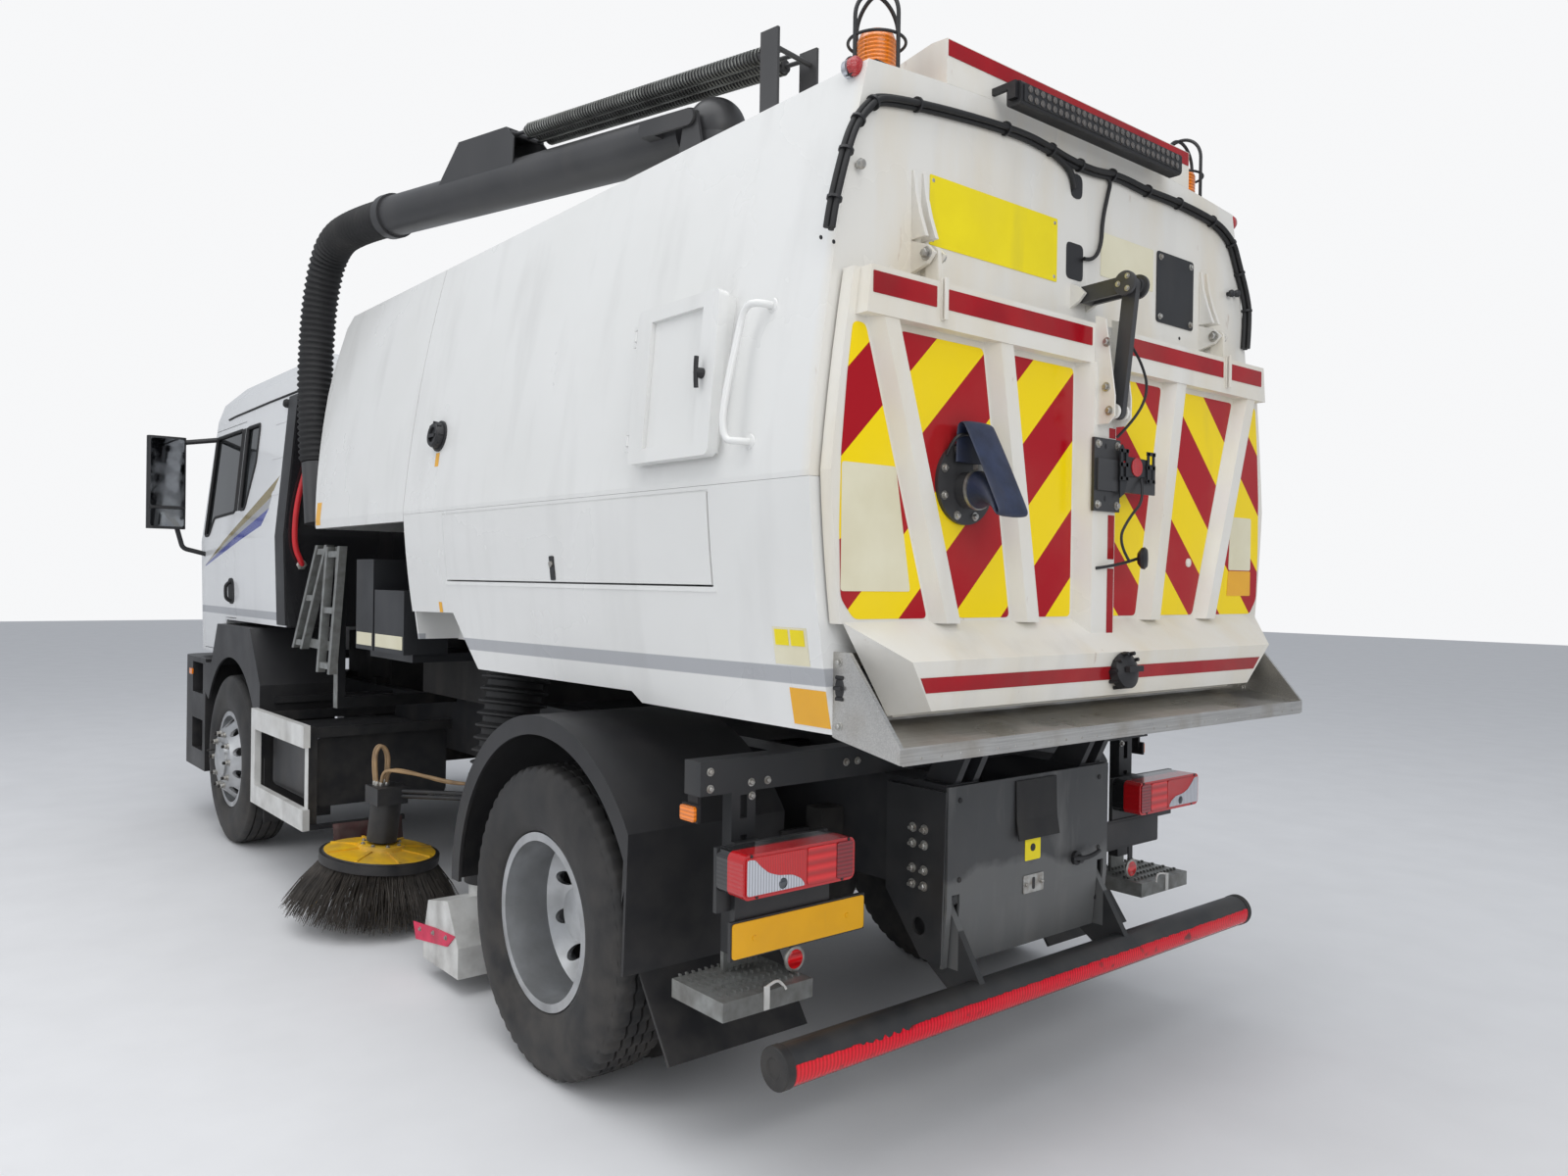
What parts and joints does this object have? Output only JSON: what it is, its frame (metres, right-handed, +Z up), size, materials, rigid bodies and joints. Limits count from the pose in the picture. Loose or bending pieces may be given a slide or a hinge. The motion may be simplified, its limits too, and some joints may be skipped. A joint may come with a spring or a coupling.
{
  "type": "street sweeper truck",
  "caption": "Two-axle rigid truck with a tilting cab, a tipping hopper with a ribbed tailgate, a roof boom with suction hose, side brushes and suction nozzles.",
  "frame": {"origin": "on the ground, under the middle of the truck's length and width", "axes": "+X forward, +Y to the truck's left, +Z up"},
  "size_m": [7.18, 3.036, 3.7066],
  "materials": {
    "white_paint": "gloss",
    "dark_paint": "satin",
    "silver_paint": "satin",
    "grey_paint": "satin",
    "cast_iron": "matt",
    "tyre": "matt",
    "glass": "gloss",
    "black_plastic": "matt",
    "seat_fabric": "matt",
    "red_lens": "gloss",
    "amber_lens": "gloss",
    "galvanised": "brushed",
    "stainless": "brushed",
    "rubber": "matt",
    "yellow_paint": "gloss"
  },
  "bodies": {
    "chassis": {"chassis_frame": "dark_paint", "front_axle": "cast_iron", "rear_axle": "cast_iron", "engine_blocks": "cast_iron", "front_bumper": "black_plastic", "wings": "black_plastic", "side_guards": "white_paint", "side_boxes": "black_plastic", "lamps": "red_lens", "rear_carrier": "dark_paint", "steps": "galvanised", "sweep_frame": "dark_paint", "suction_ducts": "rubber"},
    "steer_left": {"knuckle_left": "cast_iron"},
    "steer_right": {"knuckle_right": "cast_iron"},
    "wheel_front_left": {"tyre_front_left": "tyre", "rim_front_left": "silver_paint"},
    "wheel_front_right": {"tyre_front_right": "tyre", "rim_front_right": "silver_paint"},
    "wheels_rear_left": {"tyres_rear_left": "tyre", "rims_rear_left": "silver_paint"},
    "wheels_rear_right": {"tyres_rear_right": "tyre", "rims_rear_right": "silver_paint"},
    "cab": {"cab_shell": "white_paint", "cab_glass": "glass", "cab_trim": "black_plastic", "cab_interior": "seat_fabric"},
    "door_left": {"door_left": "white_paint", "door_glass_left": "glass", "mirror_left": "black_plastic"},
    "door_right": {"door_right": "white_paint", "door_glass_right": "glass", "mirror_right": "black_plastic"},
    "hopper": {"hopper_tank": "white_paint", "side_panels": "white_paint", "hopper_cowl": "white_paint", "beacon_cages": "black_plastic", "beacon_lamps": "amber_lens", "chute": "stainless", "roof_fittings": "white_paint"},
    "locker_left": {"locker_door_left": "white_paint"},
    "locker_right": {"locker_door_right": "white_paint"},
    "hatch": {"hatch_door": "white_paint"},
    "gate": {"tailgate": "white_paint", "gate_fittings": "dark_paint"},
    "crank": {"gate_crank": "dark_paint"},
    "link": {"gate_link": "dark_paint"},
    "turret": {"boom_turret": "dark_paint"},
    "boom": {"boom_pipe": "dark_paint", "boom_hose": "rubber", "hose_nozzle": "rubber"},
    "arm_left": {"brush_arm_left": "dark_paint"},
    "arm_right": {"brush_arm_right": "dark_paint"},
    "brush_left": {"brush_left": "yellow_paint"},
    "brush_right": {"brush_right": "yellow_paint"},
    "nozzle_left": {"nozzle_left": "white_paint"},
    "nozzle_right": {"nozzle_right": "white_paint"},
    "nozzle_wheel_left": {"nozzle_wheel_left": "rubber"},
    "nozzle_wheel_right": {"nozzle_wheel_right": "rubber"}
  },
  "joints": [
    {"name": "steering_left", "type": "hinge", "parent": "chassis", "child": "steer_left", "pos_m": [2.19, 0.88, 0.531], "axis": [0, 0, 1], "range_deg": [-35, 35]},
    {"name": "wheel_turn_front_left", "type": "hinge", "parent": "steer_left", "child": "wheel_front_left", "pos_m": [2.19, 1.074, 0.531], "axis": [0, 1, 0], "continuous": true},
    {"name": "wheel_turn_rear_left", "type": "hinge", "parent": "chassis", "child": "wheels_rear_left", "pos_m": [-2.06, 1.107, 0.531], "axis": [0, 1, 0], "continuous": true},
    {"name": "steering_right", "type": "hinge", "parent": "chassis", "child": "steer_right", "pos_m": [2.19, -0.88, 0.531], "axis": [0, 0, 1], "range_deg": [-35, 35]},
    {"name": "wheel_turn_front_right", "type": "hinge", "parent": "steer_right", "child": "wheel_front_right", "pos_m": [2.19, -1.074, 0.531], "axis": [0, 1, 0], "continuous": true},
    {"name": "wheel_turn_rear_right", "type": "hinge", "parent": "chassis", "child": "wheels_rear_right", "pos_m": [-2.06, -1.107, 0.531], "axis": [0, 1, 0], "continuous": true},
    {"name": "cab_tilt", "type": "hinge", "parent": "chassis", "child": "cab", "pos_m": [3.38, 0, 1.12], "axis": [0, 1, 0], "range_deg": [0, 50]},
    {"name": "door_swing_left", "type": "hinge", "parent": "cab", "child": "door_left", "pos_m": [3.166, 1.152, 2], "axis": [0, 0, -1], "range_deg": [0, 70]},
    {"name": "door_swing_right", "type": "hinge", "parent": "cab", "child": "door_right", "pos_m": [3.166, -1.152, 2], "axis": [0, 0, 1], "range_deg": [0, 70]},
    {"name": "hopper_tip", "type": "hinge", "parent": "chassis", "child": "hopper", "pos_m": [-3.21, 0, 1.24], "axis": [0, -1, 0], "range_deg": [0, 50]},
    {"name": "locker_lift_left", "type": "hinge", "parent": "hopper", "child": "locker_left", "pos_m": [-1.94, 1.15, 1.969], "axis": [1, 0, 0], "range_deg": [0, 80]},
    {"name": "locker_lift_right", "type": "hinge", "parent": "hopper", "child": "locker_right", "pos_m": [-1.94, -1.15, 1.969], "axis": [-1, 0, 0], "range_deg": [0, 80]},
    {"name": "hatch_swing", "type": "hinge", "parent": "hopper", "child": "hatch", "pos_m": [-2.505, 1.15791, 2.30578], "axis": [0, 0.0814, -0.9967], "range_deg": [0, 110]},
    {"name": "gate_lift", "type": "hinge", "parent": "hopper", "child": "gate", "pos_m": [-3.4, 0, 2.617], "axis": [0, 1, 0], "range_deg": [0, 80]},
    {"name": "gate_crank_turn", "type": "hinge", "parent": "hopper", "child": "crank", "pos_m": [-3.372, 0, 2.64], "axis": [0, 1, 0], "range_deg": [0, 76]},
    {"name": "gate_link_turn", "type": "hinge", "parent": "gate", "child": "link", "pos_m": [-3.492, 0, 2.255], "axis": [0, 1, 0], "range_deg": [-10, 0]},
    {"name": "boom_swivel", "type": "hinge", "parent": "hopper", "child": "turret", "pos_m": [-2.16, 0.6, 3.38], "axis": [0, 0, 1], "range_deg": [0, 90]},
    {"name": "boom_lift", "type": "hinge", "parent": "turret", "child": "boom", "pos_m": [-2.16, 0.6, 3.38], "axis": [0.1453, -0.9894, 0], "range_deg": [0, 15]},
    {"name": "brush_swing_left", "type": "hinge", "parent": "chassis", "child": "arm_left", "pos_m": [-0.56, 0.56, 0.64], "axis": [0, 0, 1], "range_deg": [0, 25]},
    {"name": "brush_spin_left", "type": "hinge", "parent": "arm_left", "child": "brush_left", "pos_m": [-0.01, 1.03, 0.33], "axis": [-0.0627, -0.0836, 0.9945], "continuous": true},
    {"name": "nozzle_lower_left", "type": "slide", "parent": "chassis", "child": "nozzle_left", "axis": [0, 0, -1], "range_m": [0, 0.06]},
    {"name": "nozzle_wheel_turn_left", "type": "hinge", "parent": "nozzle_left", "child": "nozzle_wheel_left", "pos_m": [-0.758, 1.035, 0.152], "axis": [0, 1, 0], "continuous": true},
    {"name": "brush_swing_right", "type": "hinge", "parent": "chassis", "child": "arm_right", "pos_m": [-0.56, -0.56, 0.64], "axis": [0, 0, -1], "range_deg": [0, 25]},
    {"name": "brush_spin_right", "type": "hinge", "parent": "arm_right", "child": "brush_right", "pos_m": [-0.01, -1.03, 0.33], "axis": [-0.0627, 0.0836, 0.9945], "continuous": true},
    {"name": "nozzle_lower_right", "type": "slide", "parent": "chassis", "child": "nozzle_right", "axis": [0, 0, -1], "range_m": [0, 0.06]},
    {"name": "nozzle_wheel_turn_right", "type": "hinge", "parent": "nozzle_right", "child": "nozzle_wheel_right", "pos_m": [-0.758, -1.035, 0.152], "axis": [0, 1, 0], "continuous": true}
  ],
  "couplings": [
    {"joint": "steering_right", "follows": "steering_left", "ratio": 1},
    {"joint": "gate_crank_turn", "follows": "gate_lift", "ratio": 0.8987},
    {"joint": "gate_link_turn", "follows": "gate_lift", "ratio": -0.0818}
  ]
}
